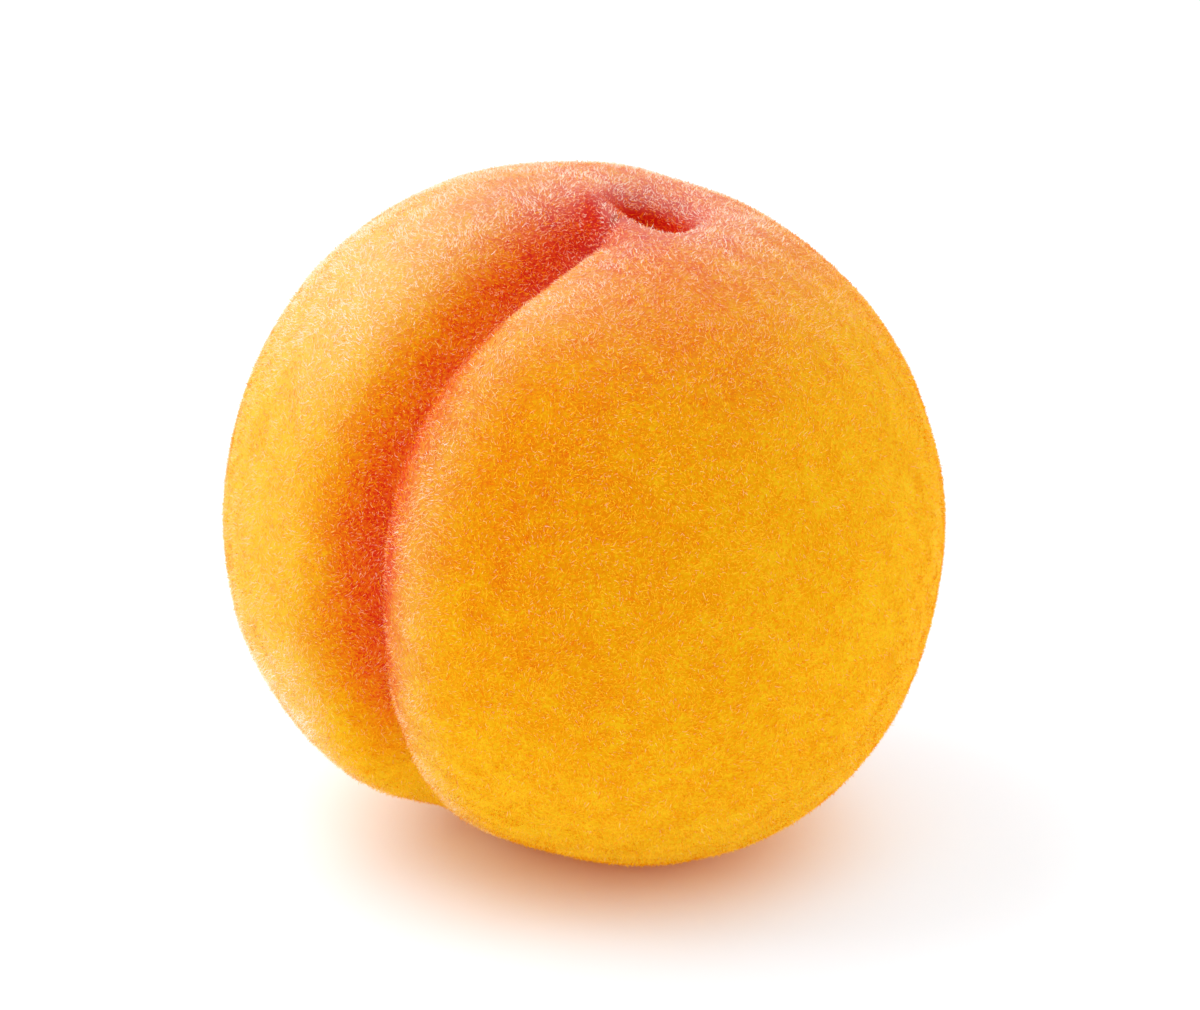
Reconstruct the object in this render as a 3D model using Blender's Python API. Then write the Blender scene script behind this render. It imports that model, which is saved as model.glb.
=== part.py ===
"""Peach: one whole ripe fruit, made as a single solid that stands on a small flat spot.

The skin is a formula in the fruit's own axes. The stem axis is +Z, the suture (the crease that
runs from the stem cavity down to the blossom end) lies towards +X, and the larger of the two
lobes is on its +Y side. A point is named by its polar angle, measured from the stem, and by its
angle around the stem axis, measured from +X. The shape is then leant over, cut flat where it
stands, and set down with the middle of its box over the origin.
"""

import math

import bmesh
import bpy
import numpy as np
from mathutils import Matrix, Vector

MM = 0.001

# Body: nearly a sphere, a little flattened above and below its middle.
BODY_RADIUS = 36.5 * MM
SHOULDER_HEIGHT = 0.975  # of the radius, from the middle to the top
BASE_HEIGHT = 0.951  # of the radius, from the middle to the bottom
BOXINESS = 2.16  # exponent of the outline: 2 is an ellipse, and more is squarer

# How far the body swells from that outline, as parts of its radius.
LARGE_LOBE_SWELL = 0.031  # on the larger lobe, and as much less on the smaller one
SUTURE_SIDE_SWELL = 0.024  # on the side with the suture
CHEEK_SWELL = 0.015  # on both cheeks, a quarter turn from the suture
SAG_SWELL = 0.032  # low on the larger lobe and high on the smaller one
THREE_SIDED_SWELL = 0.022  # the slightly three-sided outline seen from above

# Suture: a broad valley with a narrow crease along its bottom. Angles are polar, in degrees.
SUTURE_BOW = 0.2  # degrees that the suture strays towards the smaller lobe at mid height
SUTURE_SWAY = 2.8  # degrees that it sways to one side above and to the other below
VALLEY_TOP_DEPTH, VALLEY_TOP_AT, VALLEY_TOP_SPAN = 2.5 * MM, 30.0, 26.0
VALLEY_LOW_DEPTH, VALLEY_LOW_AT, VALLEY_LOW_SPAN = 3.1 * MM, 131.0, 49.0
VALLEY_LARGE_SIDE = (12.0 * MM, 22.0 * MM)  # reach on the larger lobe, above and below
VALLEY_SMALL_SIDE = (11.0 * MM, 3.0 * MM)  # reach on the smaller lobe, above and below
CREASE_TOP_DEPTH, CREASE_TOP_AT, CREASE_TOP_SPAN = 3.6 * MM, 34.0, 42.0
CREASE_LOW_DEPTH, CREASE_LOW_AT, CREASE_LOW_SPAN = 3.3 * MM, 115.0, 45.0
CREASE_LARGE_SIDE = 2.6 * MM
CREASE_SMALL_SIDE = (5.5 * MM, 4.0 * MM)  # above and below
WIDTHS_CHANGE = (85.0, 135.0)  # where the upper widths turn into the lower ones
VALLEY_STARTS, VALLEY_ENDS = (7.5, 17.0), (140.0, 174.0)  # from nothing to its full depth
CREASE_STARTS, CREASE_ENDS = (7.5, 16.0), (136.0, 174.0)
CREASE_ROUNDING = 1.5  # exponent of the smaller lobe's slope: more is rounder

# Stem cavity and blossom end: a funnel on the stem axis and a shallow dimple opposite it.
CAVITY_DEPTH = 9.5 * MM
CAVITY_REACH = 4.3 * MM
CAVITY_NOTCH = 1.3 * MM  # how much further it reaches in a notch on the larger lobe
CAVITY_NOTCH_AT, CAVITY_NOTCH_SPAN = 48.0, 38.0  # degrees around the stem axis
CAVITY_STEEPNESS = (2.8, 1.7)  # exponents of the steep wall, and of the gentle one across
CAVITY_STEEP_SIDE = math.radians(20.0)  # from the suture towards the larger lobe
DIMPLE_DEPTH = 0.8 * MM
DIMPLE_REACH = 3.2 * MM

# How the fruit lies: its stem axis leans to +X and a little to -Y, and the suture faces
# between -X and -Y.
LEAN_TO_X = math.radians(12.6)
LEAN_TO_FRONT = math.radians(2.4)
SUTURE_HEADING = math.radians(-36.3)  # from -Y, positive towards +X
FLAT_CUT = 1.1 * MM  # height of the cap that is cut away to stand on

# Mesh: rings crowd towards both ends of the stem axis, and meridians follow the suture and
# crowd towards it.
MERIDIANS = 64
RINGS = 44
END_CROWDING = 0.25
SUTURE_CROWDING = 0.5
SNAP = 0.02 * MM  # corners this close to the flat are moved onto it

SKIN_COLOUR = (0.92, 0.37, 0.012, 1.0)
SKIN_ROUGHNESS = 0.62


def between(value, limits):
    """Rises smoothly from 0 at the first limit to 1 at the second."""
    held = np.clip((value - limits[0]) / (limits[1] - limits[0]), 0.0, 1.0)
    return held * held * (3.0 - 2.0 * held)


def blend(pair, share):
    """The first of the pair at share 0 and the second at share 1."""
    return pair[0] + (pair[1] - pair[0]) * share


def bell(value, middle, span):
    """A bell curve of height 1 at the middle."""
    return np.exp(-(((value - middle) / span) ** 2))


def body_distance(polar, around):
    """Distance of the swollen superellipsoid from the centre, with no suture or cavity."""
    up, out = np.cos(polar), np.sin(polar)
    front, side = out * np.cos(around), out * np.sin(around)
    height = np.where(up > 0.0, SHOULDER_HEIGHT, BASE_HEIGHT)
    outline = (np.abs(up / height) ** BOXINESS + out**BOXINESS) ** (-1.0 / BOXINESS)
    swell = LARGE_LOBE_SWELL * side + SUTURE_SIDE_SWELL * front
    swell += CHEEK_SWELL * (side**2 - 1.0 / 3.0) - SAG_SWELL * side * up
    swell -= THREE_SIDED_SWELL * out**3 * np.sin(3.0 * around)
    return BODY_RADIUS * outline * (1.0 + swell)


def suture_drift(polar):
    """Angle by which the suture strays from its meridian, negative towards the smaller lobe."""
    sway = SUTURE_SWAY * np.sin(2.0 * polar)
    return -np.radians(SUTURE_BOW * np.sin(polar) ** 2 + sway)


def suture_depth(polar, around):
    """Depth of the valley and its crease, which is steeper on the larger lobe's side."""
    out, angle = np.sin(polar), np.degrees(polar)
    turn = (around - suture_drift(polar) + math.pi) % (2.0 * math.pi) - math.pi
    across = turn * out * BODY_RADIUS
    low = between(angle, WIDTHS_CHANGE)
    large = blend(VALLEY_LARGE_SIDE, low)
    small = blend(VALLEY_SMALL_SIDE, low)
    valley = VALLEY_LOW_DEPTH * bell(angle, VALLEY_LOW_AT, VALLEY_LOW_SPAN)
    valley += VALLEY_TOP_DEPTH * bell(angle, VALLEY_TOP_AT, VALLEY_TOP_SPAN)
    valley *= between(angle, VALLEY_STARTS) * (1.0 - between(angle, VALLEY_ENDS))
    valley *= np.exp(-((across / np.where(across > 0.0, large, small)) ** 2))
    crease = CREASE_TOP_DEPTH * bell(angle, CREASE_TOP_AT, CREASE_TOP_SPAN)
    crease += CREASE_LOW_DEPTH * bell(angle, CREASE_LOW_AT, CREASE_LOW_SPAN)
    crease *= between(angle, CREASE_STARTS) * (1.0 - between(angle, CREASE_ENDS))
    steep = np.exp(-np.abs(across) / CREASE_LARGE_SIDE)
    gentle = np.exp(-((np.abs(across) / blend(CREASE_SMALL_SIDE, low)) ** CREASE_ROUNDING))
    return valley + crease * np.where(across > 0.0, steep, gentle)


def end_depth(polar, around):
    """Depth of the stem cavity's uneven funnel and of the dimple at the blossom end."""
    off_axis = BODY_RADIUS * np.sin(polar)
    notch = CAVITY_NOTCH * bell(np.degrees(around), CAVITY_NOTCH_AT, CAVITY_NOTCH_SPAN)
    steepness = blend(CAVITY_STEEPNESS, 0.5 - 0.5 * np.cos(around - CAVITY_STEEP_SIDE))
    funnel = CAVITY_DEPTH * np.exp(-((off_axis / (CAVITY_REACH + notch)) ** steepness))
    dimple = DIMPLE_DEPTH * np.exp(-((off_axis / DIMPLE_REACH) ** 2))
    return np.where(np.cos(polar) > 0.0, funnel, dimple)


def skin_points(polar, around):
    """Points of the skin in the fruit's own axes, for arrays of the two angles."""
    distance = body_distance(polar, around)
    distance -= suture_depth(polar, around) + end_depth(polar, around)
    out = np.sin(polar)
    direction = (out * np.cos(around), out * np.sin(around), np.cos(polar))
    return distance[:, None] * np.stack(direction, axis=-1)


def standing_turn():
    """Rotation from the fruit's own axes to the way it stands."""
    stem = Vector(
        (
            math.sin(LEAN_TO_X) * math.cos(LEAN_TO_FRONT),
            -math.sin(LEAN_TO_FRONT),
            math.cos(LEAN_TO_X) * math.cos(LEAN_TO_FRONT),
        )
    ).normalized()
    heading = Vector((math.sin(SUTURE_HEADING), -math.cos(SUTURE_HEADING), 0.0))
    suture = (heading - heading.dot(stem) * stem).normalized()
    return Matrix((suture, stem.cross(suture), stem)).transposed()


def shape_sphere(mesh):
    """Moves the corners of a unit sphere onto the skin, crowding them where it curves most."""
    unit = np.array([vert.co for vert in mesh.verts])
    polar = np.arccos(np.clip(unit[:, 2], -1.0, 1.0))
    around = np.arctan2(unit[:, 1], unit[:, 0])
    polar -= END_CROWDING * np.sin(2.0 * polar)
    share = around / math.pi
    around *= 1.0 - SUTURE_CROWDING + SUTURE_CROWDING * share**2
    around += suture_drift(polar)
    for vert, point in zip(mesh.verts, skin_points(polar, around)):
        vert.co = point


def cut_flat(mesh):
    """Cuts the cap off the lowest point and closes the cut with one flat face, shaded flat."""
    level = min(vert.co.z for vert in mesh.verts) + FLAT_CUT
    everything = mesh.verts[:] + mesh.edges[:] + mesh.faces[:]
    bmesh.ops.bisect_plane(
        mesh,
        geom=everything,
        dist=SNAP,
        plane_co=(0.0, 0.0, level),
        plane_no=(0.0, 0.0, 1.0),
        use_snap_center=True,
        clear_inner=True,
    )
    rim = [edge for edge in mesh.edges if edge.is_boundary]
    filled = bmesh.ops.holes_fill(mesh, edges=rim, sides=0)["faces"]
    for face in mesh.faces:
        face.smooth = face not in filled


def set_down(mesh):
    """Moves the fruit so that it stands at zero height with its box centred on the origin."""
    corners = np.array([vert.co for vert in mesh.verts])
    low, high = corners.min(axis=0), corners.max(axis=0)
    middle = (low + high) / 2.0
    shift = Vector((-middle[0], -middle[1], -low[2]))
    bmesh.ops.translate(mesh, verts=mesh.verts, vec=shift)


def skin_material():
    """Ripe golden skin with a short dull down on it."""
    material = bpy.data.materials.new("ripe_peach_skin")
    material.use_nodes = True
    shader = material.node_tree.nodes["Principled BSDF"]
    shader.inputs["Base Color"].default_value = SKIN_COLOUR
    shader.inputs["Roughness"].default_value = SKIN_ROUGHNESS
    shader.inputs["Metallic"].default_value = 0.0
    return material


def make_peach():
    """Builds the fruit as one closed solid and adds it to the scene."""
    mesh = bmesh.new()
    bmesh.ops.create_uvsphere(mesh, u_segments=MERIDIANS, v_segments=RINGS, radius=1.0)
    shape_sphere(mesh)
    bmesh.ops.rotate(mesh, cent=(0.0, 0.0, 0.0), matrix=standing_turn(), verts=mesh.verts)
    cut_flat(mesh)
    set_down(mesh)
    bmesh.ops.recalc_face_normals(mesh, faces=mesh.faces)
    data = bpy.data.meshes.new("peach")
    mesh.to_mesh(data)
    mesh.free()
    data.set_sharp_from_angle(angle=math.radians(40.0))
    data.materials.append(skin_material())
    peach = bpy.data.objects.new("peach", data)
    bpy.context.scene.collection.objects.link(peach)
    return peach


def main():
    """Clears the scene and models the fruit."""
    for old in list(bpy.data.objects):
        bpy.data.objects.remove(old)
    make_peach()


main()
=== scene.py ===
"""A whole ripe peach, dressed: its blushing skin, its down, and a plain white table under it.

The fruit is one thing, so there is one sub-assembly for its skin and one for the down that grows
on it. Both come from the same surface formula, which is written in the fruit's own axes: +Z is
the stem axis, +X is towards the suture and +Y towards the larger lobe. Lengths are in
millimetres until a mesh is made, and a mesh is in metres.
"""

import logging
import math
from dataclasses import dataclass, field
from enum import Enum

import bpy
import numpy as np
from mathutils import Matrix, Vector


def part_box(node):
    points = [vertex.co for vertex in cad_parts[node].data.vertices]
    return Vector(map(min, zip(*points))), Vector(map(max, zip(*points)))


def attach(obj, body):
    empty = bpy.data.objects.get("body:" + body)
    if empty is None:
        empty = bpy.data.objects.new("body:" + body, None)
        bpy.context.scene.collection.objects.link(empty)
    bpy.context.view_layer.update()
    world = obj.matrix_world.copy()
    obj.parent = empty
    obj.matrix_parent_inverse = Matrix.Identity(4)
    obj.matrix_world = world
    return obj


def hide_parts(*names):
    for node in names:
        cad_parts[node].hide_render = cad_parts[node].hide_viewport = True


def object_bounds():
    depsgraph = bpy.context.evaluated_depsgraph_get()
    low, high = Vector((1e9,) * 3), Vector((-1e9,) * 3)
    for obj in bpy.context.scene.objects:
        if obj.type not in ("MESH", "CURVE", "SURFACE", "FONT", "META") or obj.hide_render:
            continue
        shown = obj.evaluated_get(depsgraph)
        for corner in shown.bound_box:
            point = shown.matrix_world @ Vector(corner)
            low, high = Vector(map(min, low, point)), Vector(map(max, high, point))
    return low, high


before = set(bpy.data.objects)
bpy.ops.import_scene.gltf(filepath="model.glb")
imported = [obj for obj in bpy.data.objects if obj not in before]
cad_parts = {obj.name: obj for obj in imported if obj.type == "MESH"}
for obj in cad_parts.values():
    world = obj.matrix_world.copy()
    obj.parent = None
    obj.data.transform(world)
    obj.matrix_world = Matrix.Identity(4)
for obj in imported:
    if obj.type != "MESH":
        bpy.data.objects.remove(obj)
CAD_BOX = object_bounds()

LOG = logging.getLogger("peach")
MM = 0.001
NODE, BODY, SLOT = "peach", "root", "peach_skin"

Array = np.ndarray
Pair = tuple[float, float]
Triple = tuple[float, float, float]
Stops = tuple[tuple[float, str], ...]
Material, Mesh, Object = bpy.types.Material, bpy.types.Mesh, bpy.types.Object
Node, Socket, Tree = bpy.types.Node, bpy.types.NodeSocket, bpy.types.NodeTree
Feed = Socket | float | tuple[float, ...]


def between(value: Array, limits: Pair) -> Array:
    """A smooth rise from 0 at the first limit to 1 at the second, as 3t^2 - 2t^3.

    Args:
        value: Any array.
        limits: Where the rise starts and where it is complete.

    Returns:
        An array of the same shape, from 0 to 1.
    """
    held = np.clip((value - limits[0]) / (limits[1] - limits[0]), 0.0, 1.0)
    return held * held * (3.0 - 2.0 * held)


def blend(pair: Pair, share: Array) -> Array:
    """The first of the pair at share 0 and the second at share 1."""
    return pair[0] + (pair[1] - pair[0]) * share


def bell(value: Array, middle: float, span: float) -> Array:
    """A bell curve of height 1: e to the minus square of the offset over the span."""
    return np.exp(-(((value - middle) / span) ** 2))


def ridge(value: Array, bells: tuple[Triple, ...], starts: Pair, ends: Pair) -> Array:
    """A sum of bells, each a height, middle and span, with a smooth start and end."""
    total = sum(height * bell(value, middle, span) for height, middle, span in bells)
    return total * (between(value, starts) * (1.0 - between(value, ends)))


def unit(vectors: Array) -> Array:
    """The vectors scaled to length 1 along their last axis."""
    return vectors / np.linalg.norm(vectors, axis=-1, keepdims=True)


def linear(colour: str) -> tuple[float, float, float, float]:
    """Turns an sRGB hex colour into linear red, green, blue and an alpha of 1, as sRGB defines it.

    Args:
        colour: Six hex digits after a hash, such as "#F2A005".

    Returns:
        The four values that a Blender colour socket takes.
    """
    parts = [int(colour[i : i + 2], 16) / 255.0 for i in (1, 3, 5)]
    red, green, blue = (c / 12.92 if c <= 0.04045 else ((c + 0.055) / 1.055) ** 2.4 for c in parts)
    return (red, green, blue, 1.0)


@dataclass(frozen=True)
class FruitForm:
    """The peach's surface, as distance from its centre by two angles. Lengths in mm.

    The polar angle is measured from the stem, and the turn is measured round the stem axis from
    the suture, which itself strays a little from a straight meridian. Angles that aren't turned
    into radians here are in degrees. A top or a low is a depth, its middle and its span along the
    suture. A side's pair is its reach at the top and low down, and a pair that starts, ends or
    changes is where that begins and is complete.
    """

    radius: float = 36.5
    shoulder_height: float = 0.975
    base_height: float = 0.951
    boxiness: float = 2.16
    large_lobe_swell: float = 0.031
    suture_side_swell: float = 0.024
    cheek_swell: float = 0.015
    sag_swell: float = 0.032
    three_sided_swell: float = 0.022
    suture_bow: float = 0.2
    suture_sway: float = 2.8
    valley_top: Triple = (2.5, 30.0, 26.0)
    valley_low: Triple = (3.1, 131.0, 49.0)
    valley_large_side: Pair = (12.0, 22.0)
    valley_small_side: Pair = (11.0, 3.0)
    valley_starts: Pair = (7.5, 17.0)
    valley_ends: Pair = (140.0, 174.0)
    crease_top: Triple = (3.6, 34.0, 42.0)
    crease_low: Triple = (3.3, 115.0, 45.0)
    crease_large_side: float = 2.6
    crease_small_side: Pair = (5.5, 4.0)
    crease_starts: Pair = (7.5, 16.0)
    crease_ends: Pair = (136.0, 174.0)
    crease_rounding: float = 1.5
    widths_change: Pair = (85.0, 135.0)
    cavity_depth: float = 9.5
    cavity_reach: float = 4.3
    cavity_notch: float = 1.3
    cavity_notch_place: Pair = (48.0, 38.0)
    cavity_steepness: Pair = (2.8, 1.7)
    cavity_near_side: float = math.radians(20.0)
    dimple_depth: float = 0.8
    dimple_reach: float = 3.2
    lean_to_x: float = math.radians(12.6)
    lean_to_front: float = math.radians(2.4)
    suture_heading: float = math.radians(-36.3)
    flat_cut: float = 1.1
    flat_rounding: float = 0.25
    eased_height: float = 4.4
    lump_height: float = 0.07
    lump_spans: Pair = (7.0, 19.0)
    lump_count: int = 14
    lump_seed: int = 7

    def drift(self, polar: Array) -> Array:
        """How far the suture strays from its meridian, in radians, at each polar angle."""
        sway = self.suture_sway * np.sin(2.0 * polar)
        return -np.radians(self.suture_bow * np.sin(polar) ** 2 + sway)

    def across(self, polar: Array, turn: Array) -> Array:
        """Distance from the crease along the skin, in mm, positive on the larger lobe."""
        return turn * np.sin(polar) * self.radius

    def off_axis(self, polar: Array) -> Array:
        """Distance from the stem axis, in mm."""
        return self.radius * np.sin(polar)

    def cavity_share(self, polar: Array, turn: Array) -> Array:
        """Distance from the stem axis as a share of the cavity's reach, which a notch widens."""
        notch = bell(np.degrees(turn + self.drift(polar)), *self.cavity_notch_place)
        return self.off_axis(polar) / (self.cavity_reach + self.cavity_notch * notch)

    def body(self, polar: Array, turn: Array) -> Array:
        """Distance of the body alone from its centre.

        A superellipse turned round the stem axis, times one plus five swells: one that favours
        the larger lobe, one the suture's side, one both cheeks, one that sags on the larger
        lobe, and one that makes the outline slightly three-sided seen from above.

        Args:
            polar: Angle from the stem.
            turn: Angle from the crease.

        Returns:
            The distance in mm.
        """
        around = turn + self.drift(polar)
        up, out = np.cos(polar), np.sin(polar)
        front, side = out * np.cos(around), out * np.sin(around)
        height = np.where(up > 0.0, self.shoulder_height, self.base_height)
        power = self.boxiness
        outline = (np.abs(up / height) ** power + out**power) ** (-1.0 / power)
        swell = self.large_lobe_swell * side + self.suture_side_swell * front
        swell += self.cheek_swell * (side**2 - 1.0 / 3.0) - self.sag_swell * side * up
        swell -= self.three_sided_swell * out**3 * np.sin(3.0 * around)
        return self.radius * outline * (1.0 + swell)

    def suture(self, polar: Array, turn: Array) -> Array:
        """Depth of the suture: a broad valley, and a crease that is steeper on the larger lobe.

        Each depth is the sum of two bells along the suture, faded out at its ends. Across it the
        valley is a bell with its own reach on each side, and the crease falls off as a plain
        exponential on the larger lobe and as a rounded one on the smaller.

        Args:
            polar: Angle from the stem.
            turn: Angle from the crease.

        Returns:
            The depth in mm.
        """
        angle, across = np.degrees(polar), self.across(polar, turn)
        on_large = across > 0.0
        low = between(angle, self.widths_change)
        bells = (self.valley_top, self.valley_low)
        valley = ridge(angle, bells, self.valley_starts, self.valley_ends)
        large, small = blend(self.valley_large_side, low), blend(self.valley_small_side, low)
        valley *= np.exp(-((across / np.where(on_large, large, small)) ** 2))
        bells = (self.crease_top, self.crease_low)
        crease = ridge(angle, bells, self.crease_starts, self.crease_ends)
        steep = np.exp(-np.abs(across) / self.crease_large_side)
        share = np.abs(across) / blend(self.crease_small_side, low)
        gentle = np.exp(-(share**self.crease_rounding))
        return valley + crease * np.where(on_large, steep, gentle)

    def ends(self, polar: Array, turn: Array) -> Array:
        """Depth of the stem cavity and of the blossom end's dimple.

        The cavity is a funnel with a steep wall under its near lip and a gentle one across from
        it, because its exponent changes with the cosine of the angle from the near side.

        Args:
            polar: Angle from the stem.
            turn: Angle from the crease.

        Returns:
            The depth in mm.
        """
        far = 0.5 - 0.5 * np.cos(turn + self.drift(polar) - self.cavity_near_side)
        steepness = blend(self.cavity_steepness, far)
        funnel = self.cavity_depth * np.exp(-(self.cavity_share(polar, turn) ** steepness))
        dimple = self.dimple_depth * np.exp(-((self.off_axis(polar) / self.dimple_reach) ** 2))
        return np.where(np.cos(polar) > 0.0, funnel, dimple)

    def lumps(self, direction: Array) -> Array:
        """Gentle unevenness of a grown skin: a sum of plane waves with seeded directions.

        Args:
            direction: Unit vectors from the centre, in the fruit's own axes.

        Returns:
            The height of the lumps in mm.
        """
        dice = np.random.default_rng(self.lump_seed)
        heading = unit(dice.normal(size=(self.lump_count, 3)))
        span = dice.uniform(*self.lump_spans, size=self.lump_count)
        phase = dice.uniform(0.0, 2.0 * math.pi, size=self.lump_count)
        waves = direction @ (heading * (2.0 * math.pi * self.radius / span)[:, None]).T + phase
        return self.lump_height * np.sin(waves).sum(axis=-1) / math.sqrt(self.lump_count)

    def points(self, polar: Array, turn: Array) -> Array:
        """Points of the skin in the fruit's own axes.

        Args:
            polar: Angle from the stem, of any shape.
            turn: Angle from the crease, of the same shape.

        Returns:
            An array with a last axis of x, y and z, in mm.
        """
        around, out = turn + self.drift(polar), np.sin(polar)
        parts = (out * np.cos(around), out * np.sin(around), np.cos(polar))
        direction = np.stack(parts, axis=-1)
        distance = self.body(polar, turn) - self.suture(polar, turn) - self.ends(polar, turn)
        distance += self.lumps(direction)
        return distance[..., None] * direction

    def standing(self) -> Array:
        """Rotation from the fruit's own axes to the way it stands.

        Returns:
            A 3 by 3 array with the axes as its columns.
        """
        lean, front = self.lean_to_x, self.lean_to_front
        side, up = math.sin(lean) * math.cos(front), math.cos(lean) * math.cos(front)
        stem = Vector((side, -math.sin(front), up)).normalized()
        heading = Vector((math.sin(self.suture_heading), -math.cos(self.suture_heading), 0.0))
        suture = (heading - heading.dot(stem) * stem).normalized()
        return np.array(Matrix((suture, stem.cross(suture), stem)).transposed())


@dataclass
class SkinGrid:
    """The skin's points on a closed grid of rings, crowded where the skin curves most.

    Rings run from the stem to the blossom end and the poles are single points. Columns run round
    the stem axis, and the last one meets the first.
    """

    form: FruitForm
    rings: int = 296
    columns: int = 332
    end_crowding: float = 0.22
    suture_crowding: float = 0.5
    polar: Array = field(init=False)
    turn: Array = field(init=False)
    points: Array = field(init=False)
    normals: Array = field(init=False)

    def __post_init__(self) -> None:
        """Works out the angles, the standing points and the normals of the whole grid."""
        row = np.linspace(0.0, math.pi, self.rings + 1)
        polar = row - self.end_crowding * np.sin(2.0 * row)
        share = np.linspace(-1.0, 1.0, self.columns + 1)
        turn = math.pi * share * (1.0 - self.suture_crowding + self.suture_crowding * share**2)
        self.polar, self.turn = np.meshgrid(polar, turn, indexing="ij")
        self.points = self.stand(self.form.points(self.polar, self.turn))
        self.normals = self.grid_normals()

    def stand(self, points: Array) -> Array:
        """Leans the points over, rounds them off onto the flat and puts them in the CAD box.

        A height h above the flat becomes the mean of h and the root of h squared plus a small
        rounding squared, which is h far above the flat and nearly 0 far below it. Points over
        the eased height stay exactly where they are.

        Args:
            points: Points in the fruit's own axes, in mm.

        Returns:
            The same points as they stand, in mm.
        """
        turned = points @ self.form.standing().T
        height = turned[..., 2] - turned[..., 2].min() - self.form.flat_cut
        eased = 0.5 * (height + np.sqrt(height**2 + self.form.flat_rounding**2))
        turned[..., 2] = np.where(height < self.form.eased_height, eased, height)
        low, high = turned.min(axis=(0, 1)), turned.max(axis=(0, 1))
        box_low, box_high = np.array(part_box(NODE)) / MM
        shift = (box_low + box_high) / 2.0 - (low + high) / 2.0
        shift[2] = box_low[2] - low[2]
        return turned + shift

    def grid_normals(self) -> Array:
        """Crosses the grid's two slopes, closed round the seam, and takes the mean at the poles.

        Returns:
            Unit normals that point outwards.
        """
        wrapped = np.concatenate((self.points[:, -2:-1], self.points, self.points[:, 1:2]), axis=1)
        along = wrapped[:, 2:] - wrapped[:, :-2]
        down = np.gradient(self.points, axis=0)
        normals = np.cross(down, along)
        normals[0], normals[-1] = normals[1].mean(axis=0), normals[-2].mean(axis=0)
        return unit(normals)


@dataclass(frozen=True)
class BlushField:
    """How far the skin has coloured, from 0 where it is yellow to 1 where it is deepest red.

    Each part is a share of red, and parts add as the light that two filters stop: what is left
    of the yellow is the product of what each part leaves. Lengths are in mm, angles in degrees,
    and the funnel's limits are shares of the stem cavity's reach. A polar, turn or place is a
    bell's middle and span, and the ground has its height before them. Other pairs of angles are
    where a change begins and is complete, and a pair of shares or reaches changes between them.
    """

    ground: Triple = (0.09, 45.0, 46.0)
    large_lobe_starts: Pair = (-4.0, 8.0)
    ground_fades: Pair = (100.0, 135.0)
    least: float = 0.01
    back: float = 0.09
    back_starts: Pair = (95.0, 150.0)
    cheek: float = 0.15
    cheek_polar: Pair = (66.0, 29.0)
    cheek_turn: Pair = (22.0, 20.0)
    crown: float = 0.13
    crown_polar: Pair = (37.0, 16.0)
    crown_turn: Pair = (50.0, 22.0)
    groove: float = 0.52
    groove_top: float = 0.06
    groove_top_place: Pair = (17.0, 9.0)
    groove_low: float = 0.16
    groove_low_place: Pair = (88.0, 16.0)
    groove_reach: Pair = (6.1, 3.4)
    groove_rounding: float = 2.3
    groove_narrows: Pair = (98.0, 128.0)
    groove_ends: Pair = (108.0, 142.0)
    wall_reach: Pair = (0.8, 3.2)
    wall_widens: Pair = (33.0, 62.0)
    shoulder: Pair = (0.43, 0.92)
    shoulder_turn: Pair = (-14.0, 31.0)
    shoulder_reach: float = 26.5
    funnel: float = 0.72
    funnel_limits: Pair = (0.9, 1.65)
    brow_dip: float = 0.42
    brow_polar: Pair = (29.0, 8.0)
    brow_turn: Pair = (11.0, 9.0)

    def at(self, form: FruitForm, polar: Array, turn: Array) -> Array:
        """The blush at each point.

        Args:
            form: The fruit's shape.
            polar: Angle from the stem.
            turn: Angle from the crease.

        Returns:
            An array from 0 to 1.
        """
        angle, side = np.degrees(polar), np.degrees(turn)
        across = form.across(polar, turn)
        on_large = between(side, self.large_lobe_starts)
        height, *place = self.ground
        ground = on_large * height * bell(side, *place)
        ground += self.back * between(np.abs(side), self.back_starts)
        ground = self.least + ground * (1.0 - between(angle, self.ground_fades))
        cheek = self.cheek * bell(angle, *self.cheek_polar) * bell(side, *self.cheek_turn)
        crown = self.crown * bell(angle, *self.crown_polar) * bell(side, *self.crown_turn)
        reach = blend(self.groove_reach, between(angle, self.groove_narrows))
        slope = np.exp(-((np.abs(across) / reach) ** self.groove_rounding))
        wall = bell(across, 0.0, blend(self.wall_reach, between(angle, self.wall_widens)))
        groove = self.groove + self.groove_top * bell(angle, *self.groove_top_place)
        groove += self.groove_low * bell(angle, *self.groove_low_place)
        groove *= 1.0 - between(angle, self.groove_ends)
        groove *= np.where(across < 0.0, slope, wall)
        shoulder = blend(self.shoulder, bell(side, *self.shoulder_turn))
        shoulder *= bell(angle, 0.0, self.shoulder_reach)
        shoulder *= 1.0 - self.brow_dip * bell(angle, *self.brow_polar) * bell(side, *self.brow_turn)
        inside = 1.0 - between(form.cavity_share(polar, turn), self.funnel_limits)
        funnel = np.where(np.cos(polar) > 0.0, self.funnel * inside, 0.0)
        parts = (ground, on_large * cheek, on_large * crown, groove, shoulder, funnel)
        return 1.0 - np.prod([1.0 - part for part in parts], axis=0)


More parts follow.
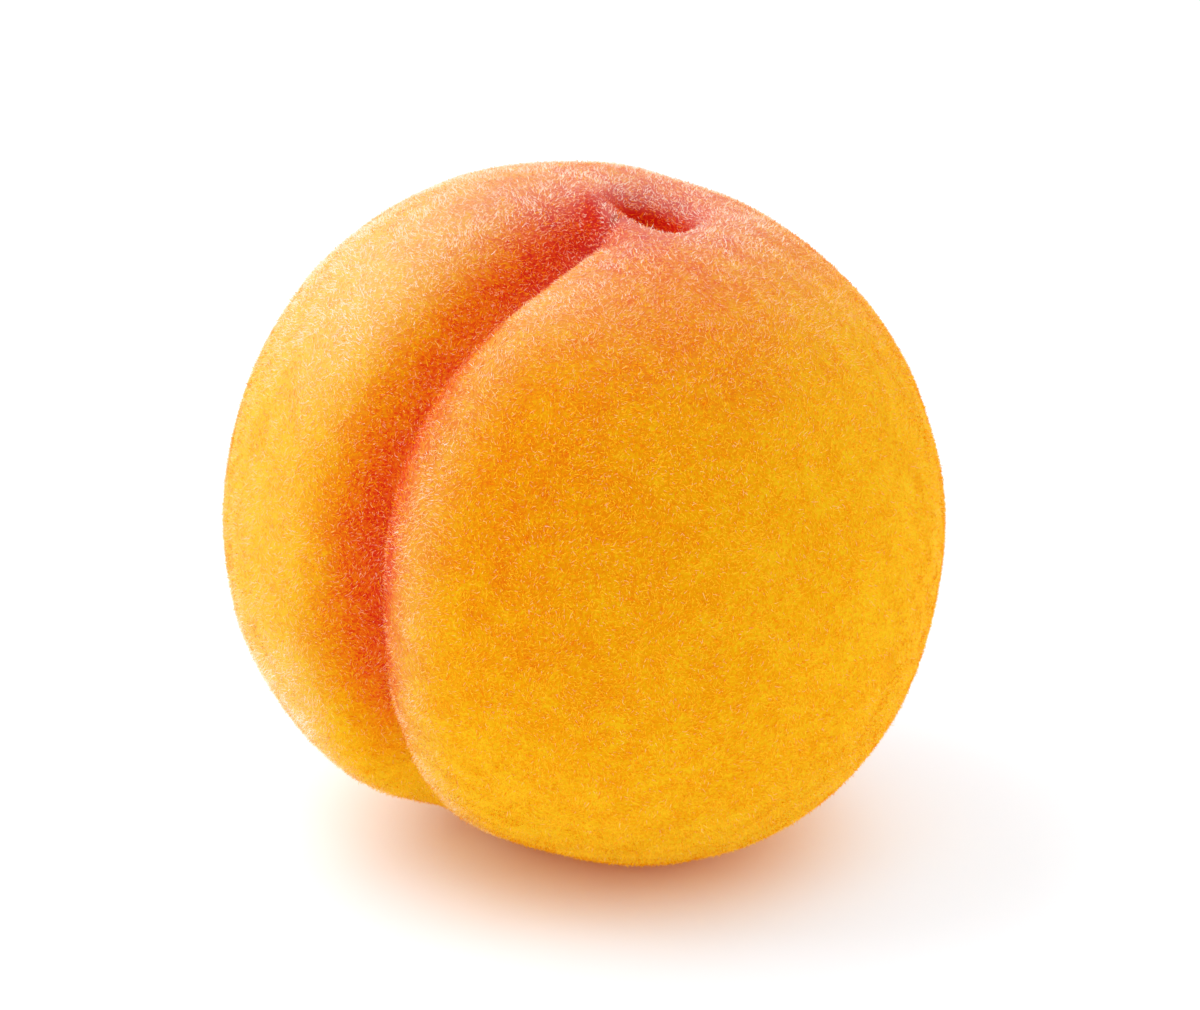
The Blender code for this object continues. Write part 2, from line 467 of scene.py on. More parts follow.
@dataclass(frozen=True)
class FrostAndPaintedLightField:
    """How whitish the down looks, from 0 for yellow hairs to 1 for nearly white ones.

    It is partly the real pale down and partly painted light: the smaller lobe and the top are
    painted paler where the light falls on them from above and the left, and the crease's edge on
    the larger lobe, the cavity's near lip and the smaller lobe's low rim are painted paler where
    the camera sees them edge on. Lengths are in mm and angles in degrees, and the lip's place and
    the cavity's limits are shares of the cavity's reach. Pairs mean what they do for the blush, and
    a gap is a bell too.
    """

    small_lobe: Pair = (1.0, 0.22)
    small_lobe_starts: Pair = (-10.0, 0.0)
    small_lobe_rise: Pair = (2.5, 14.0)
    small_lobe_fall: Pair = (48.0, 80.0)
    shoulder: float = 0.92
    shoulder_reach: float = 26.0
    shoulder_dip: float = 0.5
    shoulder_gap: Pair = (5.0, 36.0)
    rim: float = 0.9
    rim_polar: Pair = (12.0, 5.0)
    rim_gap: Pair = (-4.0, 34.0)
    edge: Pair = (0.52, 0.31)
    edge_place: Pair = (3.8, 3.6)
    edge_fall: Pair = (38.0, 58.0)
    brow: float = 0.38
    brow_polar: Pair = (30.0, 12.0)
    brow_turn: Pair = (18.0, 20.0)
    lip: float = 0.85
    lip_place: Pair = (1.53, 0.14)
    lip_turn: float = 5.0
    groove_dip: float = 0.9
    groove_place: Pair = (-2.6, 3.8)
    cavity_limits: Pair = (0.8, 1.35)
    low_rim: float = 0.7
    low_rim_starts: Pair = (100.0, 125.0)
    low_rim_rise: Pair = (6.0, 17.0)
    low_rim_fades: Pair = (26.0, 78.0)
    back_fades: Pair = (60.0, 135.0)
    bare: float = 0.3

    def at(self, form: FruitForm, polar: Array, turn: Array) -> Array:
        """The frost and its painted light at each point.

        Args:
            form: The fruit's shape.
            polar: Angle from the stem.
            turn: Angle from the crease.

        Returns:
            An array from 0 to 1, and below 0 where even stray pale hairs are missing.
        """
        angle, side = np.degrees(polar), np.degrees(turn)
        across, share = form.across(polar, turn), form.cavity_share(polar, turn)
        # painted light: the smaller lobe grows paler away from the crease, where the light falls and
        # towards its edge seen edge on
        small = blend(self.small_lobe, between(angle, self.small_lobe_fall))
        small *= between(-across, self.small_lobe_rise) * between(-side, self.small_lobe_starts)
        small *= 1.0 - between(-side, self.back_fades)
        # partly painted light: the top is paler under the overhead light
        shoulder = self.shoulder * bell(angle, 0.0, self.shoulder_reach)
        shoulder *= 1.0 - self.shoulder_dip * bell(side, *self.shoulder_gap)
        rim = self.rim * bell(angle, *self.rim_polar) * (1.0 - bell(side, *self.rim_gap))
        # painted rim light: the larger lobe's edge at the crease, seen edge on, is made paler
        edge = blend(self.edge, between(angle, self.edge_fall)) * bell(across, *self.edge_place)
        brow = self.brow * bell(angle, *self.brow_polar) * bell(side, *self.brow_turn)
        # painted rim light: the cavity's near lip, on the camera's side, is made whitish
        near = np.clip(np.cos(np.radians(side - self.lip_turn)), 0.0, 1.0)
        upper = np.cos(polar) > 0.0
        lip = self.lip * near * bell(share, *self.lip_place) * upper
        # painted rim light: the smaller lobe's low rim, seen edge on, is made paler
        low = self.low_rim * between(angle, self.low_rim_starts)
        low *= between(-side, self.low_rim_rise)
        low *= 1.0 - between(-side, self.low_rim_fades)
        parts = (small, shoulder, rim, edge, brow, low)
        open_skin = 1.0 - self.groove_dip * bell(across, *self.groove_place)
        inside = (1.0 - between(share, self.cavity_limits)) * upper
        open_skin *= 1.0 - inside
        frost_and_painted_light = open_skin * (1.0 - np.prod([1.0 - part for part in parts], axis=0))
        return 1.0 - (1.0 - frost_and_painted_light) * (1.0 - lip) - self.bare * inside


@dataclass(frozen=True)
class Tones:
    """The colours of the skin by its blush, and the near white of dry down, which also carries
    painted light.
    """

    stops: Stops = (
        (0.00, "#F8C210"),
        (0.13, "#F4A800"),
        (0.30, "#F08E04"),
        (0.48, "#ED750A"),
        (0.65, "#E7530B"),
        (0.83, "#E0320E"),
        (1.00, "#D2180C"),
    )
    white: str = "#FFF2E2"

    def at(self, blush: float, frost_and_painted_light: float) -> tuple[float, ...]:
        """The colour of a blush, between the two nearest stops, whitened by a share of frost.

        Args:
            blush: From 0 to 1.
            frost_and_painted_light: The share of white, from 0 to 1.

        Returns:
            Linear red, green and blue, and an alpha of 1.
        """
        places = [place for place, _ in self.stops]
        columns = zip(*(linear(colour) for _, colour in self.stops))
        pure = [float(np.interp(blush, places, column)) for column in columns]
        return tuple(p + (w - p) * frost_and_painted_light for p, w in zip(pure, linear(self.white)))


def mesh_of(name: str, points: Array, groups: list[Array]) -> Mesh:
    """Makes a mesh from whole arrays.

    Args:
        name: Name of the mesh.
        points: Corners in mm, of any shape whose last axis is x, y and z.
        groups: Arrays of corner numbers, one row for each face, all rows of a group as long.

    Returns:
        The mesh, in metres.
    """
    corners = points.reshape(-1, 3) * MM
    loops = np.concatenate([group.ravel() for group in groups])
    sizes = np.concatenate([np.full(len(group), group.shape[1]) for group in groups])
    mesh = bpy.data.meshes.new(name)
    mesh.vertices.add(len(corners))
    mesh.vertices.foreach_set("co", corners.astype(np.float32).ravel())
    mesh.loops.add(len(loops))
    mesh.loops.foreach_set("vertex_index", loops.astype(np.int32))
    mesh.polygons.add(len(sizes))
    starts = np.concatenate(([0], np.cumsum(sizes)[:-1]))
    mesh.polygons.foreach_set("loop_start", starts.astype(np.int32))
    mesh.update(calc_edges=True)
    mesh.shade_flat()
    return mesh


def add_piece(mesh: Mesh) -> Object:
    """Puts a mesh of the fruit in the scene, and makes it ride on the fruit's body.

    Args:
        mesh: The finished mesh, which already lies where it belongs.

    Returns:
        The piece, named after its mesh.
    """
    piece = bpy.data.objects.new(mesh.name, mesh)
    bpy.context.scene.collection.objects.link(piece)
    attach(piece, BODY)
    return piece


def feed(node: Node, **links: Feed) -> None:
    """Links or sets a node's inputs.

    Args:
        node: The node.
        links: Inputs by name with _ for a space, or by i and the input's number, each an output
            socket to link or a value to set.
    """
    for key, value in links.items():
        number = key[1:]
        socket = node.inputs[int(number)] if number.isdigit() else node.inputs[key.replace("_", " ")]
        if isinstance(value, Socket):
            node.id_data.links.new(value, socket)
        else:
            socket.default_value = value


def add_node(tree: Tree, kind: str, settings: dict[str, object] | None = None, **links: Feed) -> Node:
    """Adds a shader node with its settings and its inputs.

    Args:
        tree: The node tree.
        kind: The node's type, such as "ShaderNodeMix".
        settings: Attributes of the node.
        links: Inputs, as feed takes them.

    Returns:
        The node.
    """
    node = tree.nodes.new(kind)
    for key, value in (settings or {}).items():
        setattr(node, key, value)
    feed(node, **links)
    return node


def fill_ramp(node: Node, stops: Stops) -> None:
    """Sets the colours of a colour ramp node.

    Args:
        node: The ramp, as it was made.
        stops: Places from 0 to 1 in rising order, each with its hex colour.
    """
    elements = node.color_ramp.elements
    elements[0].position, elements[-1].position = stops[0][0], stops[-1][0]
    elements[0].color, elements[-1].color = linear(stops[0][1]), linear(stops[-1][1])
    for place, colour in stops[1:-1]:
        elements.new(place).color = linear(colour)


def blank_material(name: str) -> tuple[Material, Node]:
    """Makes a material that has only an output and a Principled shader.

    Args:
        name: What the real one is and how it was made.

    Returns:
        The material and its shader.
    """
    material = bpy.data.materials.new(name)
    material.use_nodes = True
    return material, material.node_tree.nodes["Principled BSDF"]


@dataclass(frozen=True)
class SkinFinish:
    """Ripe peach skin, grown under a short down: matt, slightly see-through, golden with red.

    The red pigment lies in specks, so its edge looks grainy and never like an airbrushed fade.
    Light goes a little way into the flesh, which keeps the shaded side warm. Its gloss is next to
    none, because the down breaks it up, so the eye sees velvet and not wax.
    """

    tones: Tones = Tones()
    speck_mm: float = 0.34
    patch_mm: float = 2.2
    cloud_mm: float = 9.0
    speck_amount: float = 1.0
    patch_amount: float = 0.6
    cloud_amount: float = 0.28
    noise_detail: float = 2.0
    least_share: float = 0.36
    deepening: float = 0.18
    # how far the frost field whitens the skin: partly a real dry bloom, partly its painted light
    bloom_and_painted_light: float = 0.19
    share_limits: Pair = (0.05, 0.4)
    grain_limits: Pair = (-0.2, 0.2)
    roughness: Pair = (0.55, 0.72)
    scar: str = "#7A4A22"
    bump: float = 0.4
    bump_mm: float = 0.1
    gloss: float = 0.05
    flesh_ior: float = 1.4
    flesh_share: float = 0.15
    flesh_depth_mm: float = 1.6
    flesh_tints: Triple = (1.0, 0.40, 0.06)

    def noise(self, tree: Tree, span_mm: float, amount: float) -> Socket:
        """Noise about 0, on the fruit's own coordinates.

        Args:
            tree: The node tree.
            span_mm: How far across its blobs are, about.
            amount: Its height. The texture itself lies about a half, so half of it comes off.

        Returns:
            The socket that gives it.
        """
        where = add_node(tree, "ShaderNodeTexCoord").outputs["Object"]
        shape = {"Scale": 1.0 / (span_mm * MM), "Detail": self.noise_detail}
        node = add_node(tree, "ShaderNodeTexNoise", Vector=where, **shape)
        return self.sum_of(tree, node.outputs["Fac"], amount, -0.5 * amount)

    def sum_of(self, tree: Tree, value: Feed, factor: Feed, more: Feed) -> Socket:
        """The value times the factor, plus more."""
        settings = {"operation": "MULTIPLY_ADD"}
        return add_node(tree, "ShaderNodeMath", settings, i0=value, i1=factor, i2=more).outputs[0]

    def spread(self, tree: Tree, value: Feed, limits: Pair, ends: Pair) -> Socket:
        """The value carried over from between the limits to between the ends, and held there."""
        places = {"i1": limits[0], "i2": limits[1], "i3": ends[0], "i4": ends[1]}
        return add_node(tree, "ShaderNodeMapRange", Value=value, **places).outputs[0]

    def read(self, tree: Tree, name: str) -> Socket:
        """The skin mesh's own attribute of that name."""
        return add_node(tree, "ShaderNodeAttribute", {"attribute_name": name}).outputs["Fac"]

    def mixed(self, tree: Tree, share: Feed, under: Socket, over: str) -> Socket:
        """The colour under, covered by a share of the plain colour over."""
        mix = {"data_type": "RGBA"}
        return add_node(tree, "ShaderNodeMix", mix, i0=share, i6=under, i7=linear(over)).outputs[2]

    def material(self) -> Material:
        """Builds the material, which reads the skin mesh's blush, frost and scar.

        Returns:
            The material.
        """
        material, shader = blank_material("peach_skin_grown_ripe")
        tree = material.node_tree
        blush = self.read(tree, "blush")
        speck = self.noise(tree, self.speck_mm, self.speck_amount)
        patch = self.noise(tree, self.patch_mm, self.patch_amount)
        cloud = self.noise(tree, self.cloud_mm, self.cloud_amount)
        grain = self.sum_of(tree, speck, 1.0, self.sum_of(tree, patch, 1.0, cloud))
        share = self.spread(tree, blush, self.share_limits, (self.least_share, 1.0))
        deeper = self.sum_of(tree, blush, 1.0 + self.deepening, 0.0)
        moved = self.sum_of(tree, grain, share, deeper)
        ramp = add_node(tree, "ShaderNodeValToRGB", Fac=moved)
        fill_ramp(ramp, self.tones.stops)
        # the skin whitened by the frost field, so it carries a real dry bloom and the field's painted
        # light and rim
        bloom_and_painted_light = self.sum_of(tree, self.read(tree, "frost_and_painted_light"), self.bloom_and_painted_light, 0.0)
        whitened = self.mixed(tree, bloom_and_painted_light, ramp.outputs["Color"], self.tones.white)
        scarred = self.mixed(tree, self.read(tree, "scar"), whitened, self.scar)
        rough = self.spread(tree, grain, self.grain_limits, self.roughness)
        height = {"Strength": self.bump, "Distance": self.bump_mm * MM, "Height": speck}
        bump = add_node(tree, "ShaderNodeBump", **height).outputs[0]
        feed(shader, Base_Color=scarred, Roughness=rough, Normal=bump)
        feed(shader, IOR=self.flesh_ior, Specular_IOR_Level=self.gloss)
        feed(shader, Subsurface_Weight=self.flesh_share, Subsurface_Radius=self.flesh_tints)
        feed(shader, Subsurface_Scale=self.flesh_depth_mm * MM)
        return material


@dataclass(frozen=True)
class DownFinish:
    """Dry plant hairs in a few tints, from the skin's own colour under them to nearly white.

    A hair is so thin that it takes up the colour it grows on, so a tint has a blush and a frost.
    To the eye the pale ones are partly the real dry down over the red and partly painted light and
    rim, and the rest soften the skin under them. The glow stands for light that passes through a
    hair, and keeps its underside from turning dark where it leans towards the eye.
    """

    tones: Tones = Tones(
        stops=(
            (0.00, "#FCC624"),
            (0.15, "#F8AE06"),
            (0.35, "#F28E06"),
            (0.60, "#EE5E10"),
            (1.00, "#E43212"),
        )
    )
    blushes: tuple[float, ...] = (0.02, 0.22, 0.46, 0.78)
    frost_and_painted_light_levels: tuple[float, ...] = (0.0, 0.22, 0.52, 0.96)
    roughness: float = 0.6
    gloss: float = 0.05
    glow: float = 0.12

    def materials(self) -> list[Material]:
        """Makes a plain matt material for each tint.

        Returns:
            The materials, all frosts of the first blush first.
        """
        made = []
        for row, blush in enumerate(self.blushes):
            for column, frost_and_painted_light in enumerate(self.frost_and_painted_light_levels):
                material, shader = blank_material(f"peach_down_grown_blush_{row}_frost_{column}")
                # the pale tints stand for real pale down and also for the frost field's painted light
                # and rim
                tint = self.tones.at(blush, frost_and_painted_light)
                feed(shader, Base_Color=tint, Emission_Color=tint, Emission_Strength=self.glow)
                feed(shader, Roughness=self.roughness, Specular_IOR_Level=self.gloss)
                made.append(material)
        return made

    def numbers(self, blush: Array, frost_and_painted_light: Array) -> Array:
        """Finds the nearest tint for each hair.

        Args:
            blush: Each hair's blush.
            frost_and_painted_light: Each hair's frost.

        Returns:
            The tints' numbers in the list of materials.
        """
        rows = np.abs(blush[:, None] - np.array(self.blushes)).argmin(axis=1)
        columns = np.abs(frost_and_painted_light[:, None] - np.array(self.frost_and_painted_light_levels)).argmin(axis=1)
        return rows * len(self.frost_and_painted_light_levels) + columns


class HairShape(Enum):
    """The build of a hair, as the number of rings of corners under its tip."""

    SPIKE = 1
    BENT = 2


@dataclass(frozen=True)
class DownKind:
    """One sort of hair: how many grow, how long and thick they are and how they lean.

    The root is half of a hair's width there, and the lean is measured from the skin's normal,
    in degrees. Real hairs are too fine to show, so these are drawn thicker and fewer.
    """

    name: str
    shape: HairShape
    per_mm2: float
    length_mm: Pair
    root_mm: float
    lean: Pair
    seed: int


@dataclass
class Skin:
    """The fruit's skin as one closed surface, with its colouring and scars as attributes."""

    grid: SkinGrid
    under_frost: float = 0.24
    scar_radius: float = 1.2
    tip_radius: float = 0.7
    scar_edge: Pair = (0.6, 1.3)
    fleck: float = 0.45
    fleck_size: Pair = (0.5, 0.6)
    fleck_away: float = 7.0

    def faces(self) -> list[Array]:
        """Closes the grid: quads between the rings and a fan of triangles at each pole.

        Returns:
            The quads and the two fans, all facing outwards.
        """
        rings, columns = self.grid.rings, self.grid.columns
        row, column = np.meshgrid(np.arange(rings - 2), np.arange(columns), indexing="ij")
        beside = (column + 1) % columns
        first = 1 + row * columns
        upper, lower = first, first + columns
        quads = np.stack((upper + column, lower + column, lower + beside, upper + beside), axis=-1)
        here, nearby = np.arange(columns), (np.arange(columns) + 1) % columns
        last = 1 + (rings - 2) * columns
        bottom = 1 + (rings - 1) * columns
        top_fan = np.stack((np.zeros_like(here), 1 + here, 1 + nearby), axis=-1)
        bottom_fan = np.stack((np.full_like(here, bottom), last + nearby, last + here), axis=-1)
        return [quads.reshape(-1, 4), top_fan, bottom_fan]

    def closed(self, values: Array) -> Array:
        """Grid values in the mesh's own order: the top pole, the rings, and the bottom pole."""
        inner = values[1:-1, :-1].reshape(-1, *values.shape[2:])
        return np.concatenate((values[:1, 0], inner, values[-1:, 0]))

    def blush(self) -> Array:
        """The blush over the whole grid."""
        return BlushField().at(self.grid.form, self.grid.polar, self.grid.turn)

    def frost_and_painted_light(self) -> Array:
        """The frost, partly painted light, over the whole grid."""
        return FrostAndPaintedLightField().at(self.grid.form, self.grid.polar, self.grid.turn)

    def scar(self) -> Array:
        """The dry brown of the stem scar, the blossom's tiny tip and a fleck at the suture's top.

        Returns:
            The share of brown over the whole grid.
        """
        form, polar, turn = self.grid.form, self.grid.polar, self.grid.turn
        away, upper = form.off_axis(polar), np.cos(polar) > 0.0
        limits = np.where(upper, self.scar_radius, self.tip_radius)
        wide, high = self.fleck_size
        fleck = self.fleck * bell(form.across(polar, turn), 0.0, wide)
        fleck *= bell(away, self.fleck_away, high)
        return np.maximum(1.0 - between(away / limits, self.scar_edge), upper * fleck)

    def build(self) -> Object:
        """Makes the skin, which stands for the whole fruit.

        Returns:
            The piece.
        """
        mesh = mesh_of("skin", self.closed(self.grid.points), self.faces())
        mesh.shade_smooth()
        frost_and_painted_light = np.maximum(self.frost_and_painted_light(), 0.0)
        blush = self.blush() * (1.0 + self.under_frost * frost_and_painted_light)
        fields = {"blush": blush, "frost_and_painted_light": frost_and_painted_light, "scar": self.scar()}
        for name, values in fields.items():
            layer = mesh.attributes.new(name, "FLOAT", "POINT")
            layer.data.foreach_set("value", self.closed(values).astype(np.float32))
        mesh.materials.append(SkinFinish().material())
        piece = add_piece(mesh)
        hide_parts(NODE)
        return piece


@dataclass
class Down:
    """The fruit's down: short straight hairs all over and longer bent ones among them.

    Angles are in degrees but for the flattest lean. A hair keeps a share of the skin's blush that
    fades from the first to the second as it gets frosty, its frost being partly painted light. The
    frost spread is its least, and what frost and blush add to it. The upper width is a bent hair's,
    half way up, over its root's.
    """

    skin: Skin
    finish: DownFinish = DownFinish()
    gores: int = 10
    kinds: tuple[DownKind, ...] = (
        DownKind("short", HairShape.SPIKE, 21.5, (0.25, 0.62), 0.052, (45.0, 78.0), 11),
        DownKind("long", HairShape.BENT, 1.8, (0.50, 0.95), 0.042, (40.0, 74.0), 12),
    )
    bend: Pair = (5.0, 25.0)
    swing: Pair = (-55.0, 55.0)
    flattest: float = math.radians(85.0)
    upper_width: float = 0.75
    lay_seed: int = 100
    flow_waves: int = 16
    flow_spans_mm: Pair = (2.0, 9.0)
    flow_scatter: float = 0.9
    sunk_mm: float = 0.06
    ridge: float = 0.35
    clear_of_table_mm: float = 0.9
    fading: Pair = (0.80, 0.42)
    blush_spread: float = 0.12
    frost_spread: Triple = (0.05, 0.48, 0.25)

    def roots(self, kind: DownKind) -> tuple[Array, ...]:
        """Places the roots evenly over the skin.

        A cell of the grid is drawn with a chance proportional to its area, and the root lies at
        a random place in it, where everything is the mean of the cell's corners weighted by
        nearness.

        Args:
            kind: The sort of hair.

        Returns:
            Points, normals, blush, frost with its painted light, and angle round the stem axis.
        """
        dice = np.random.default_rng(kind.seed)
        grid = self.skin.grid
        points = grid.points
        side = points[1:, :-1] - points[:-1, :-1]
        along = points[:-1, 1:] - points[:-1, :-1]
        area = np.linalg.norm(np.cross(side, along), axis=-1).ravel()
        count = int(kind.per_mm2 * area.sum())
        total = np.cumsum(area)
        cell = np.searchsorted(total, dice.uniform(0.0, total[-1], count))
        row, column = np.divmod(np.minimum(cell, area.size - 1), grid.columns)
        low, left = dice.uniform(size=(2, count))
        weights = ((1 - low) * (1 - left), (1 - low) * left, low * (1 - left), low * left)
        corners = ((row, column), (row, column + 1), (row + 1, column), (row + 1, column + 1))

        def mean(values: Array) -> Array:
            """The weighted mean of the four corners' values."""
            spread = (-1,) + (1,) * (values.ndim - 2)
            return sum(w.reshape(spread) * values[c] for w, c in zip(weights, corners))

        fields = (self.skin.blush(), self.skin.frost_and_painted_light(), grid.turn)
        return mean(points), unit(mean(grid.normals)), *(mean(values) for values in fields)

    def lay(self, root: Array, normal: Array, dice: np.random.Generator) -> Array:
        """The way each hair lies along the skin: a smooth random flow, and a scatter about it.

        The flow's three parts are sums of plane waves through space, with seeded directions.

        Args:
            root: Where the hairs grow, in mm.
            normal: The skin's normals there.
            dice: The source of chance.

        Returns:
            Unit vectors that lie in the skin.
        """
        heading = unit(dice.normal(size=(self.flow_waves, 3)))
        heading *= 2.0 * math.pi / dice.uniform(*self.flow_spans_mm, size=(self.flow_waves, 1))
        phase = dice.uniform(0.0, 2.0 * math.pi, self.flow_waves)
        parts = dice.normal(size=(self.flow_waves, 3)) / math.sqrt(self.flow_waves)
        way = np.cos(root @ heading.T + phase) @ parts
        way += self.flow_scatter * dice.normal(size=root.shape)
        return unit(way - (way * normal).sum(axis=1, keepdims=True) * normal)

    def hairs(self, kind: DownKind) -> tuple[Array, ...]:
        """Shapes the hairs: rings of three corners from the root up, and one corner at the tip.

        A hair leans from the normal by a random angle. The upper half of a bent one leans
        further and turns a little round the normal. Across it a hair is a low triangle with its
        ridge outwards.

        Args:
            kind: The sort of hair.

        Returns:
            Corners by hair, each hair's tint number, and its angle round the stem axis.
        """
        values = self.roots(kind)
        keep = values[0][:, 2] > self.clear_of_table_mm
        root, normal, blush, frost_and_painted_light, turn = (value[keep] for value in values)
        dice = np.random.default_rng(kind.seed + self.lay_seed)
        count = len(root)
        level = self.lay(root, normal, dice)
        level_two = np.cross(normal, level)
        lean = np.radians(dice.uniform(*kind.lean, count))
        bend = np.radians(dice.uniform(*self.bend, count))
        swing = np.radians(dice.uniform(*self.swing, count))
        length = dice.uniform(*kind.length_mm, count)[:, None]

        def heading(angle: Array, swung: Array) -> Array:
            """A direction at an angle from the normal, swung round it."""
            flat = np.cos(swung)[:, None] * level + np.sin(swung)[:, None] * level_two
            return np.cos(angle)[:, None] * normal + np.sin(angle)[:, None] * flat

        first = heading(lean, np.zeros(count))
        across = unit(np.cross(first, normal))
        ring = kind.root_mm * np.stack((across, -across, -self.ridge * np.cross(first, across)))
        foot = root - self.sunk_mm * normal
        if kind.shape is HairShape.BENT:
            second = heading(np.minimum(lean + bend, self.flattest), swing)
            middle = foot + 0.5 * length * first
            tip = middle + 0.5 * length * second
            parts = (foot + ring, middle + self.upper_width * ring, tip[None])
        else:
            parts = (foot + ring, (foot + length * first)[None])
        blush = blend(self.fading, np.clip(frost_and_painted_light, 0.0, 1.0)) * blush
        blush += dice.normal(0.0, self.blush_spread, count)
        least, by_frost, by_blush = self.frost_spread
        spread = least + by_frost * frost_and_painted_light + by_blush * blush
        frost_and_painted_light = frost_and_painted_light + spread * dice.normal(size=count)
        tint = self.finish.numbers(blush, frost_and_painted_light)
        return np.concatenate(parts).transpose(1, 0, 2), tint, turn

    def faces(self, shape: HairShape, count: int) -> list[Array]:
        """The faces of count hairs of one shape.

        Args:
            shape: The build of a hair.
            count: How many hairs there are.

        Returns:
            The quads between rings, if there are any, and the triangles at tip and root.
        """
        rings = shape.value
        start = (3 * rings + 1) * np.arange(count)[:, None, None]
        top = 3 * (rings - 1)
        ends = np.array([[top + i, top + (i + 1) % 3, top + 3] for i in range(3)] + [[2, 1, 0]])
        groups = [(start + ends).reshape(-1, 3)]
        if shape is HairShape.BENT:
            quads = np.array([[i, (i + 1) % 3, 3 + (i + 1) % 3, 3 + i] for i in range(3)])
            groups.insert(0, (start + quads).reshape(-1, 4))
        return groups

    def build(self) -> list[Object]:
        """Makes the down in gores round the stem axis.

        Returns:
            The pieces, one for each gore of each kind.
        """
        materials = self.finish.materials()
        pieces = []
        for kind in self.kinds:
            corners, tint, turn = self.hairs(kind)
            order = np.argsort(turn, kind="stable")
            for number, chosen in enumerate(np.array_split(order, self.gores), start=1):
                groups = self.faces(kind.shape, len(chosen))
                name = f"down_{kind.name}_gore_{number:02d}"
                mesh = mesh_of(name, corners[chosen], groups)
                for material in materials:
                    mesh.materials.append(material)
                faces_each = [len(group) // len(chosen) for group in groups]
                numbers = np.concatenate([np.repeat(tint[chosen], each) for each in faces_each])
                mesh.polygons.foreach_set("material_index", numbers.astype(np.int32))
                pieces.append(add_piece(mesh))
        return pieces


@dataclass(frozen=True)
class SoftBox:
    """A square soft box: its place and size in metres, and its power."""

    name: str
    place: Triple
    size: float
    watts: float


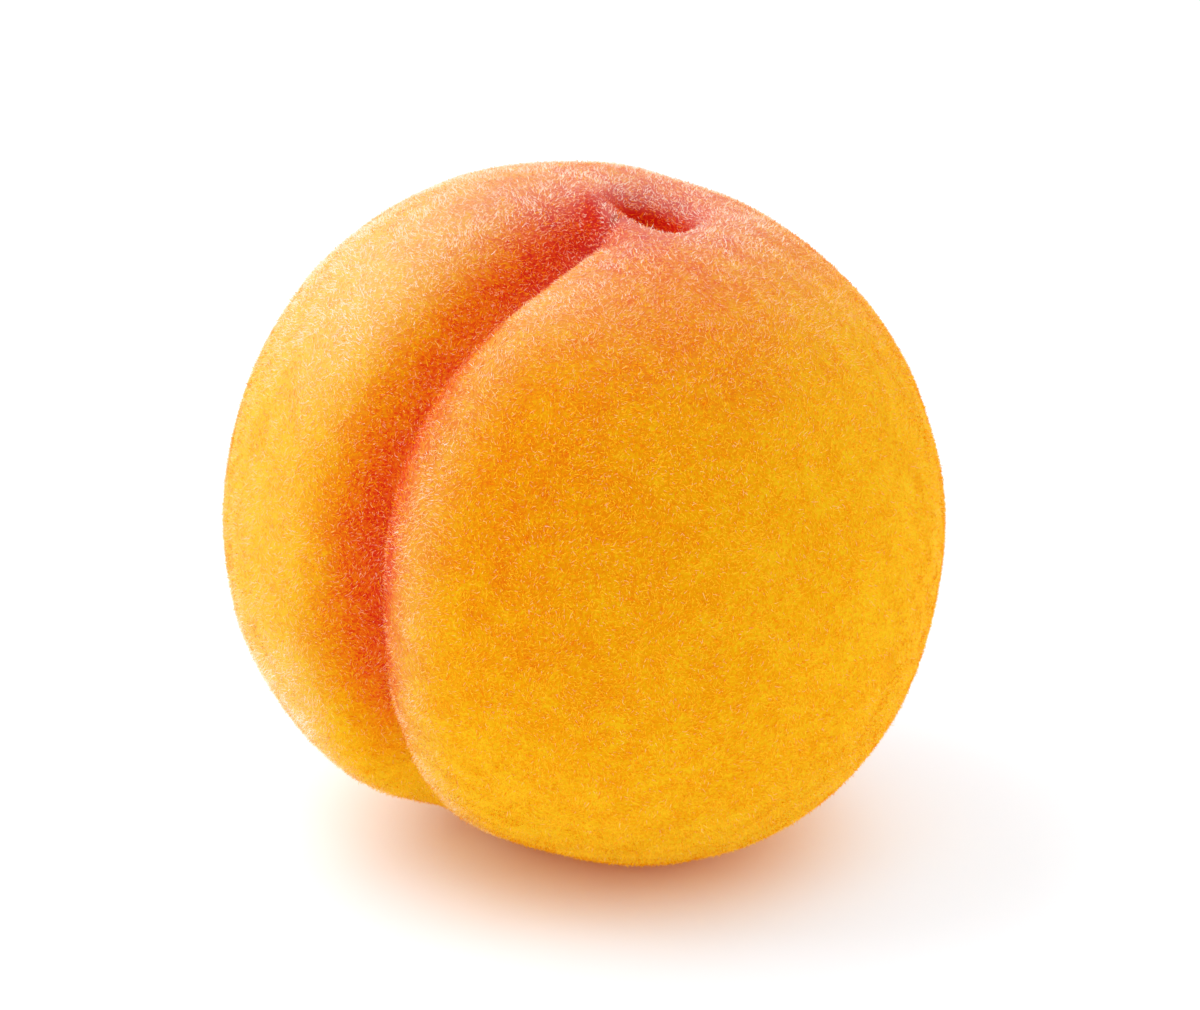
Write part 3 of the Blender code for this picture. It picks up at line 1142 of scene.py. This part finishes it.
@dataclass(frozen=True)
class Studio:
    """A white table in a bright white room, with soft boxes and the camera. In metres.

    The room's light is given for behind the fruit and for the camera's side. Where it dims is the
    part of a unit direction that points to that side, or up. The glow is painted light that the
    table adds by how open the sky above it is: a painted warm bounce of the fruit's colour close
    by, and a painted white lift of its shadow further off.
    """

    elevation: float = math.radians(20.0)
    distance: float = 0.3453
    lens: float = 100.0
    sensor: float = 36.0
    nearest: float = 0.01
    aim_right: float = 1.7 * MM
    aim_up: float = 0.12 * MM
    table_size: float = 40.0
    room_light: Pair = (1.04, 0.74)
    room_dims: Pair = (0.25, 0.95)
    ceiling_dims: float = 0.28
    ceiling_limits: Pair = (0.2, 1.0)
    room_seen: float = 1.05
    paper: str = "#F1F2F3"
    paper_roughness: float = 0.9
    paper_gloss: float = 0.1
    shade_samples: int = 8
    shade_reach: float = 36.0 * MM
    boxes: tuple[SoftBox, ...] = (
        SoftBox("overhead_box", (-0.43, 0.07, 0.66), 0.6, 2.2),
        SoftBox("side_box", (0.70, 0.10, 0.17), 0.3, 0.45),
    )
    # painted glow on the table, by how open its sky is: painted warm bounce light near the fruit,
    # painted white lift further off
    painted_glow_stops: Stops = (
        (0.12, "#5A1200"),
        (0.33, "#643C44"),
        (0.45, "#767E90"),
        (0.65, "#7C94AA"),
        (0.95, "#848F9A"),
    )

    def table(self) -> None:
        """A large level sheet of matt white paper under the fruit's soft shadow, with a painted glow
        on
        it: a painted warm bounce close to the fruit and a painted white lift of the shadow further
        off.
        """
        half = self.table_size / 2.0
        mesh = bpy.data.meshes.new("white_table")
        corners = [(-half, -half, 0.0), (half, -half, 0.0), (half, half, 0.0), (-half, half, 0.0)]
        mesh.from_pydata(corners, [], [(0, 1, 2, 3)])
        material, shader = blank_material("paper_white_matt_painted_glow")
        tree = material.node_tree
        samples = {"samples": self.shade_samples}
        open_sky = add_node(tree, "ShaderNodeAmbientOcclusion", samples, Distance=self.shade_reach)
        ramp = add_node(tree, "ShaderNodeValToRGB", Fac=open_sky.outputs["AO"])
        fill_ramp(ramp, self.painted_glow_stops)
        # painted light: the table glows warm under the fruit and whiter further off, which tints and
        # lightens its shadow
        feed(shader, Emission_Color=ramp.outputs["Color"], Emission_Strength=1.0)
        feed(shader, Base_Color=linear(self.paper), Roughness=self.paper_roughness)
        feed(shader, Specular_IOR_Level=self.paper_gloss)
        mesh.materials.append(material)
        table = bpy.data.objects.new("white_table", mesh)
        table.location.z = CAD_BOX[0][2]
        bpy.context.scene.collection.objects.link(table)

    def room(self) -> None:
        """White all round to the eye, and as a light dimmer on the camera's side."""
        world = bpy.data.worlds.new("white_room")
        world.use_nodes = True
        tree = world.node_tree
        back = tree.nodes["Background"]
        seen = add_node(tree, "ShaderNodeLightPath").outputs["Is Camera Ray"]
        way = add_node(tree, "ShaderNodeTexCoord").outputs["Generated"]
        axes = add_node(tree, "ShaderNodeSeparateXYZ", Vector=way).outputs
        start, end = self.room_dims
        behind, front = self.room_light
        level_up, straight_up = self.ceiling_limits
        smooth, kind = {"interpolation_type": "SMOOTHSTEP"}, "ShaderNodeMapRange"
        walls = {"Value": axes["Y"], "i1": -start, "i2": -end, "i3": behind, "i4": front}
        ceiling = {"Value": axes["Z"], "i1": level_up, "i2": straight_up}
        ceiling |= {"i3": 1.0, "i4": 1.0 - self.ceiling_dims}
        factors = [add_node(tree, kind, smooth, **links).outputs[0] for links in (walls, ceiling)]
        multiply = {"operation": "MULTIPLY"}
        light = add_node(tree, "ShaderNodeMath", multiply, i0=factors[0], i1=factors[1])
        level = add_node(tree, "ShaderNodeMix", i0=seen, i2=light.outputs[0], i3=self.room_seen)
        feed(back, Color=(1.0, 1.0, 1.0, 1.0), Strength=level.outputs[0])
        bpy.context.scene.world = world
        bpy.context.scene.view_settings.view_transform = "Standard"

    def soft_box(self, box: SoftBox) -> None:
        """Hangs a soft box so that it faces the fruit.

        Args:
            box: The soft box.
        """
        light = bpy.data.lights.new(box.name, "AREA")
        light.size, light.energy = box.size, box.watts
        lamp = bpy.data.objects.new(box.name, light)
        lamp.location = box.place
        lamp.rotation_mode = "QUATERNION"
        lamp.rotation_quaternion = Vector(box.place).to_track_quat("Z", "Y")
        bpy.context.scene.collection.objects.link(lamp)

    def camera(self) -> None:
        """A long lens in front of the fruit, looking down a little."""
        low, high = (Vector(corner) for corner in CAD_BOX)
        back = Vector((0.0, -math.cos(self.elevation), math.sin(self.elevation)))
        up = Vector((0.0, math.sin(self.elevation), math.cos(self.elevation)))
        aim = (low + high) / 2.0 + Vector((self.aim_right, 0.0, 0.0)) + self.aim_up * up
        data = bpy.data.cameras.new("camera")
        data.lens, data.sensor_width, data.clip_start = self.lens, self.sensor, self.nearest
        camera = bpy.data.objects.new("camera", data)
        camera.location = aim + self.distance * back
        camera.rotation_mode = "QUATERNION"
        camera.rotation_quaternion = back.to_track_quat("Z", "Y")
        bpy.context.scene.collection.objects.link(camera)
        bpy.context.scene.camera = camera

    def build(self) -> None:
        """Sets up the table, the room, the lights and the camera."""
        self.table()
        self.room()
        for box in self.boxes:
            self.soft_box(box)
        self.camera()


def main() -> None:
    """Builds the fruit and its surroundings, and reports each piece."""
    logging.basicConfig(level=logging.INFO, format="%(message)s")
    Studio().build()
    grid = SkinGrid(FruitForm())
    skin = Skin(grid)
    pieces = [skin.build(), *Down(skin).build()]
    total = 0
    for piece in pieces:
        triangles = sum(len(face.vertices) - 2 for face in piece.data.polygons)
        LOG.info("%s: %d triangles", piece.name, triangles)
        total += triangles
    LOG.info("all pieces: %d triangles", total)


if __name__ == "__main__":
    main()
